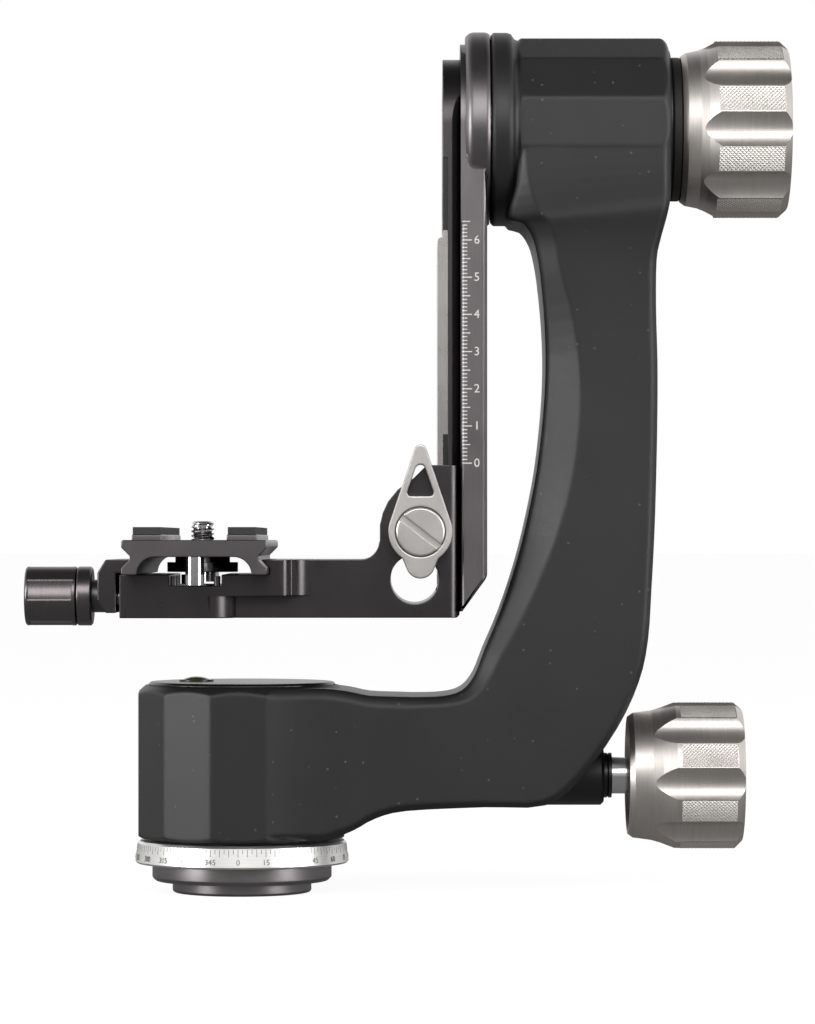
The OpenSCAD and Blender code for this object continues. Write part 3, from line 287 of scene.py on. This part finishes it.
for step in range(24):
    turn = Matrix.Rotation(math.radians(step * 15), 4, "Z")
    wall = ring_wide - math.tan(lean) * (figure_z - ring_low) + 0.06
    out = Matrix.Translation(Vector((0, -wall, figure_z)) * MM)
    figures(shape, str(step * 15), 1.5 * MM, turn @ out @ Matrix.Rotation(math.pi / 2 - lean, 4, "X"))
piece("degree_marks", shape, "base", ink)


# ---------------------------------------------------------------- Spindle and bearings
# Steel bush, spindle, screws and ball bearings inside the two barrels, with a brass drum that the
# pan lock presses on. They are turned and ground, and most show only where the head is taken apart.
# The screws of the hub and the rail share their steel and show from the cradle's side.
machined_steel = metal("turned_steel", "#a9a9ac", 0.3, (0.3, 0.3, 1), 0.4)
bright_steel = metal("polished_steel", "#d8d8da", 0.1, (1, 1, 1), 0.8, 0.001, 0.04)
screw_steel = metal("blackened_screw_steel", "#5d5d60", 0.35, (1, 1, 1), 0.3)
brass = metal("turned_brass", "#c59a55", 0.25, (0.2, 0.2, 1), 0.4)
finish("tripod_bush pan_spindle spindle_washer spindle_nut", machined_steel)
finish("pan_sleeve pan_inner_races pan_outer_races", machined_steel)
finish("tilt_sleeve tilt_shaft tilt_spacer tilt_nut tilt_inner_races tilt_outer_races", machined_steel)
finish("pan_balls tilt_balls", bright_steel)
finish("bush_screw spindle_screws hub_screws rail_screws", screw_steel)
finish("brake_drum", brass)


# ---------------------------------------------------------------- Arm
# The arm is one forged and machined light-alloy piece with a satin black, finely textured coat.
# Its edges are softened before coating, and the coat shows a few pale specks.
def coat(name, colour, speck, roughness, grit_mm, specks=0.5, edge_mm=0.0):
    """A black coat: fine grit, soft cloudiness, a few pale specks, and edges rounded by edge_mm."""
    made, tree, shader, place = surface(name)
    cloud = add(tree, "TexNoise", {"Vector": place, "Scale": 1 / (18 * MM), "Detail": 4.0}).outputs["Fac"]
    grit = add(tree, "TexNoise", {"Vector": place, "Scale": 1 / (grit_mm * MM), "Detail": 3.0}).outputs["Fac"]
    shade = ramp(tree, cloud, 0.3, 0.7, 0.85, 1.15)
    tone = add(tree, "VectorMath", {0: linear(colour)[:3], "Scale": shade}, operation="SCALE").outputs[0]
    if specks:
        cells = add(tree, "TexVoronoi", {"Vector": place, "Scale": 1 / (2.4 * MM), "Randomness": 1.0})
        dot = ramp(tree, cells.outputs["Distance"], 0.06, 0.17, specks, 0.0)
        chance = add(tree, "SeparateColor", {0: cells.outputs["Color"]}).outputs[0]
        dotted = combine(tree, "MULTIPLY", dot, ramp(tree, chance, 0.84, 0.9, 0.0, 1.0))
        tone = add(tree, "Mix", {0: dotted, 6: tone, 7: linear(speck)}, data_type="RGBA").outputs[2]
    tree.links.new(tone, shader.inputs["Base Color"])
    tree.links.new(ramp(tree, grit, 0.3, 0.7, roughness - 0.05, roughness + 0.07), shader.inputs["Roughness"])
    bump = add(tree, "Bump", {"Strength": 0.3, "Distance": 0.04 * MM, "Height": grit})
    if edge_mm:
        soft = add(tree, "Bevel", {"Radius": edge_mm * MM}, samples=6)
        tree.links.new(soft.outputs[0], bump.inputs["Normal"])
    tree.links.new(bump.outputs[0], shader.inputs["Normal"])
    return made


finish("arm", coat("satin_black_forged_alloy", "#1a1819", "#6f6e70", 0.43, 0.35, 0.5, 1.6))

# The round cap on the pan barrel is glossy black, with a bubble level let into it: a black cup
# and a domed vial of green tinted acrylic. A rubber lip keeps dust out under the barrel.
gloss_black = coat("gloss_black_anodised_alloy", "#0b0b0c", "#0b0b0c", 0.3, 0.5, 0)
eased("pan_barrel_cap", "top_cap", 0.15, "arm", gloss_black)
finish("level_cup", gloss_black)
vial, tree, shader, place = surface("tinted_acrylic_vial")
shader.inputs["Roughness"].default_value = 0.05
shader.inputs["Transmission Weight"].default_value = 0.85
depth = add(tree, "TexNoise", {"Vector": place, "Scale": 1 / (3 * MM)}).outputs["Fac"]
tint = add(tree, "Mix", {0: depth, 6: linear("#8d9c45"), 7: linear("#a3b25a")}, data_type="RGBA")
tree.links.new(tint.outputs[2], shader.inputs["Base Color"])
finish("level_vial", vial)
rubber = coat("moulded_black_rubber", "#2e2d2e", "#2e2d2e", 0.7, 0.3, 0)
finish("dust_seal", rubber)

# ---------------------------------------------------------------- Pan lock
# A matte black guide tube with a glossy grooved ring at its end, a polished stud, and a turned
# aluminium knob whose lands between the finger grooves are diamond knurled.
matte_black = coat("matte_black_anodised_alloy", "#151516", "#151516", 0.4, 0.3, 0)
finish("lock_boss", matte_black)
finish("boss_ring", gloss_black)
finish("pan_stud", bright_steel)
finish("brake_rod", machined_steel)
finish("pan_knob_screw", screw_steel)
finish("brake_shoe", coat("moulded_white_acetal", "#e2ddd0", "#e2ddd0", 0.4, 0.4, 0))


def knurl(name, height, grip, start, stop, lands, first, half_width, pitch, body, material):
    """Diamond knurling: a turned grid of small points, trimmed to one land and wrapped on the grip,
    then copied round the knob's axis, which runs along X at the given height. The first land lies
    that many degrees from the front."""
    shape = bmesh.new()
    side = pitch / math.sqrt(2)
    count = math.ceil((stop - start + 2 * half_width) / side)
    bmesh.ops.create_grid(shape, x_segments=count, y_segments=count, size=count * side / 2 * MM)
    bmesh.ops.poke(shape, faces=shape.faces, offset=0.24 * side * MM)
    bmesh.ops.rotate(shape, verts=shape.verts, matrix=Matrix.Rotation(math.radians(45), 3, "Z"))
    half_length = (stop - start) / 2
    for normal, limit in (((1, 0, 0), half_length), ((-1, 0, 0), half_length),
                          ((0, 1, 0), half_width), ((0, -1, 0), half_width)):
        bmesh.ops.bisect_plane(shape, geom=shape.verts[:] + shape.edges[:] + shape.faces[:],
                               plane_co=Vector(normal) * limit * MM, plane_no=normal, clear_outer=True)
    for v in shape.verts:
        out = (grip + 0.01) * MM + v.co.z
        angle = v.co.y / (grip * MM)
        v.co = ((start + stop) / 2 * MM + v.co.x, -out * math.cos(angle), out * math.sin(angle))
    patch = shape.verts[:] + shape.edges[:] + shape.faces[:]
    for land in range(1, lands):
        copy = bmesh.ops.duplicate(shape, geom=patch)["geom"]
        bmesh.ops.rotate(shape, verts=[g for g in copy if isinstance(g, bmesh.types.BMVert)],
                         matrix=Matrix.Rotation(math.tau * land / lands, 3, "X"))
    bmesh.ops.rotate(shape, verts=shape.verts, matrix=Matrix.Rotation(math.radians(first), 3, "X"))
    bmesh.ops.translate(shape, verts=shape.verts, vec=(0, 0, height * MM))
    bmesh.ops.recalc_face_normals(shape, faces=shape.faces)
    piece(name, shape, body, material)


knob_metal = metal("turned_champagne_aluminium", "#cbc5c0", 0.38, (1, 0.03, 0.03), 0.25)
knurl_metal = metal("knurled_champagne_aluminium", "#e2ddd8", 0.5, (1, 1, 1), 0.3)
finish("pan_knob", knob_metal)
knurl("pan_knob_knurling", PAN_LOCK_Z, 20, 119.6, 134.6, 8, 26.4, 3.2, 1.0, "pan_knob", knurl_metal)

# ---------------------------------------------------------------- Tilt plate and its scale
# The hub and plate are one machined, grey anodised aluminium piece. Its front edge carries an
# engraved scale in millimetres, filled with white, with a figure at each centimetre.
plate_grey = metal("grey_anodised_aluminium", "#6f6b6c", 0.36, (1, 1, 0.06), 0.25, 0.002, 0.06)
hub_radius, hub_foot = 26.3, 181
shape = cad_copy("tilt_plate")
bmesh.ops.bisect_plane(shape, geom=shape.verts[:] + shape.edges[:] + shape.faces[:],
                       plane_co=(0, 0, hub_foot * MM), plane_no=(0, 0, 1))
round_edges(shape, 0.9, 3, lambda edge: all(
    math.hypot(v.co.y, v.co.z - TILT_AXIS_Z * MM) > hub_radius * MM for v in edge.verts))
eased("hub_and_plate", "tilt_plate", 0.4, "tilt", plate_grey, shape=shape,
      chosen=lambda edge: (all(v.co.z < (hub_foot + 0.1) * MM for v in edge.verts)
                           and edge.calc_length() > 1 * MM))
paint, tree, shader, place = surface("white_engraving_paint")
shader.inputs["Roughness"].default_value = 0.55
patchy = add(tree, "TexNoise", {"Vector": place, "Scale": 1 / (0.8 * MM), "Detail": 2.0}).outputs["Fac"]
patches = ramp(tree, patchy, 0.3, 0.7, 0.0, 1.0)
filled = add(tree, "Mix", {0: patches, 6: linear("#e4e2e0"), 7: linear("#cfccca")}, data_type="RGBA")
tree.links.new(filled.outputs[2], shader.inputs["Base Color"])
shape = bmesh.new()
upright = Matrix.Rotation(math.pi / 2, 4, "X")
tick_y, figure_y = -23.205, -23.22
scale_zero = 117
for mark in range(66):
    long = 2.65 if mark % 10 == 0 else 2.2 if mark % 5 == 0 else 1.4
    out = Matrix.Translation(Vector((60.0 + long / 2, tick_y, scale_zero + mark)) * MM)
    stroke(shape, long * MM, 0.28 * MM, out @ upright)
for number in range(7):
    out = Matrix.Translation(Vector((64.0, figure_y, scale_zero + 10 * number)) * MM)
    figures(shape, str(number), 2.3 * MM, out @ upright)
piece("plate_scale", shape, "tilt", paint)

# ---------------------------------------------------------------- Dovetail rail
# A dark grey anodised rail is screwed to the plate. A ground steel wear bar fills its shallow
# recess between two black plastic strips.
rail_metal = metal("dark_grey_drawn_aluminium", "#4a4748", 0.34, (1, 1, 0.04), 0.25, 0.002, 0.06)
eased("drawn_rail", "dovetail_rail", 0.2, "tilt", rail_metal)
finish("wear_bar", metal("ground_steel", "#b2afad", 0.27, (1, 1, 0.03), 0.25))
black_plastic = coat("moulded_black_acetal", "#121212", "#121212", 0.35, 0.4, 0)
finish("rail_liner friction_ring", black_plastic)

# ---------------------------------------------------------------- Tilt lock
# A black disc presses on the arm's end when the bigger knob is turned in. The knob has a brass
# insert and is turned and knurled like the pan knob.
eased("pressure_washer", "pressure_disc", 0.2, "disc",
      coat("dull_black_bonded_lining", "#070707", "#070707", 0.6, 0.3, 0))
finish("tilt_knob", knob_metal)
knurl("tilt_knob_knurling", TILT_AXIS_Z, 24, 129.4, 147.0, 9, 24.4, 3.45, 1.1, "tilt_knob", knurl_metal)
finish("tilt_insert", brass)
finish("tilt_knob_screw", screw_steel)

# ---------------------------------------------------------------- Cradle
# Beam, upright and clamp block are one machined piece, anodised satin black, with broken edges
# that catch the light. Small dark steel pins stand in the clamp's clearance channel.
cradle_black = metal("satin_black_anodised_aluminium", "#4b4849", 0.3, (1, 1, 1), 0.2, 0.002, 0.06)
corner_x, corner_y = 57, 19.35
shape = cad_copy("cradle")
round_edges(shape, 1.7, 5, lambda edge: all(
    abs(abs(v.co.y) - corner_y * MM) < 0.1 * MM and v.co.x > corner_x * MM for v in edge.verts))
eased("machined_cradle", "cradle", 0.3, "cradle", cradle_black, shape=shape)
finish("seat_pins", screw_steel)
finish("jaw_pins", machined_steel)
finish("height_gib lever_stud", machined_steel)

# The height lever is blasted and clear anodised, and its slotted cap is turned and clear anodised.
lever_metal = metal("blasted_clear_anodised_aluminium", "#c3c0bd", 0.42, (1, 1, 1), 0.18, 0.006)
cap_metal = metal("turned_clear_anodised_aluminium", "#dbd8d5", 0.3, (1, 1, 1), 0.25)
eased("wing_lever", "height_lever", 0.45, "lever", lever_metal)
eased("slotted_cap", "lever_cap", 0.2, "lever", cap_metal)

# ---------------------------------------------------------------- Quick-release clamp
# The moving jaw is black like the cradle. Its knob is gunmetal anodised, with four shallow
# grooves and a collar.
eased("moving_jaw", "clamp_jaw", 0.35, "jaw", cradle_black)
knob_gunmetal = metal("gunmetal_turned_aluminium", "#6c6768", 0.28, (1, 0.05, 0.05), 0.25)
eased("grooved_clamp_knob", "clamp_knob", 0.25, "clamp_knob", knob_gunmetal)
eased("clamp_knob_collar", "clamp_collar", 0.2, "clamp_knob", knob_gunmetal)
finish("clamp_screw", screw_steel)

# ---------------------------------------------------------------- Camera plate
# The plate is machined and anodised dark grey. Two rubber pads lie on its ribs, two polished
# stops stand at its ends, and the camera screw has a rolled thread.
plate_dark = metal("dark_grey_anodised_aluminium", "#6b6768", 0.33, (1, 0.06, 1), 0.25, 0.002, 0.06)
eased("dovetail_camera_plate", "camera_plate", 0.3, "plate", plate_dark)
finish("plate_pads", rubber)
finish("plate_stops", bright_steel)

# The camera screw's captive head keeps its shape; its plain end gives way to a rolled quarter-inch
# thread, one turn each 1.27 mm, with a chamfered tip.
screw_x, head_top, thread_start, thread_end = -10.8, 96.6, 96.2, 101.1
turns, steps = 5, 24
shape = cad_copy("camera_screw")
cut = bmesh.ops.bisect_plane(shape, geom=shape.verts[:] + shape.edges[:] + shape.faces[:],
                             plane_co=(0, 0, head_top * MM), plane_no=(0, 0, 1), clear_outer=True)
bmesh.ops.contextual_create(shape, geom=[g for g in cut["geom_cut"] if isinstance(g, bmesh.types.BMEdge)])
eased("captive_screw_head", "camera_screw", 0.15, "screw", bright_steel, shape=shape)
shape = bmesh.new()
pitch, crest, root = 1.27, 3.175, 2.55
profile = ((root, 0), (root, 0.1), (crest, 0.42), (crest, 0.58), (root, 0.9), (root, 1))
flank = [shape.verts.new(Vector((r, 0, thread_start + rise * pitch)) * MM) for r, rise in profile]
ridge = [shape.edges.new(pair) for pair in zip(flank, flank[1:])]
bmesh.ops.spin(shape, geom=flank + ridge, axis=(0, 0, 1), dvec=(0, 0, pitch / steps * MM),
               angle=math.tau * turns, steps=steps * turns)
bmesh.ops.remove_doubles(shape, verts=shape.verts, dist=0.005 * MM)
bmesh.ops.bisect_plane(shape, geom=shape.verts[:] + shape.edges[:] + shape.faces[:],
                       plane_co=(0, 0, thread_end * MM), plane_no=(0, 0, 1), clear_outer=True)
bmesh.ops.create_cone(shape, cap_ends=True, segments=24, radius1=3.13 * MM, radius2=2.65 * MM,
                      depth=0.5 * MM, matrix=Matrix.Translation((0, 0, 101.2 * MM)))
bmesh.ops.translate(shape, verts=shape.verts, vec=(screw_x * MM, 0, 0))
bmesh.ops.recalc_face_normals(shape, faces=shape.faces)
piece("rolled_thread", shape, "screw", bright_steel)
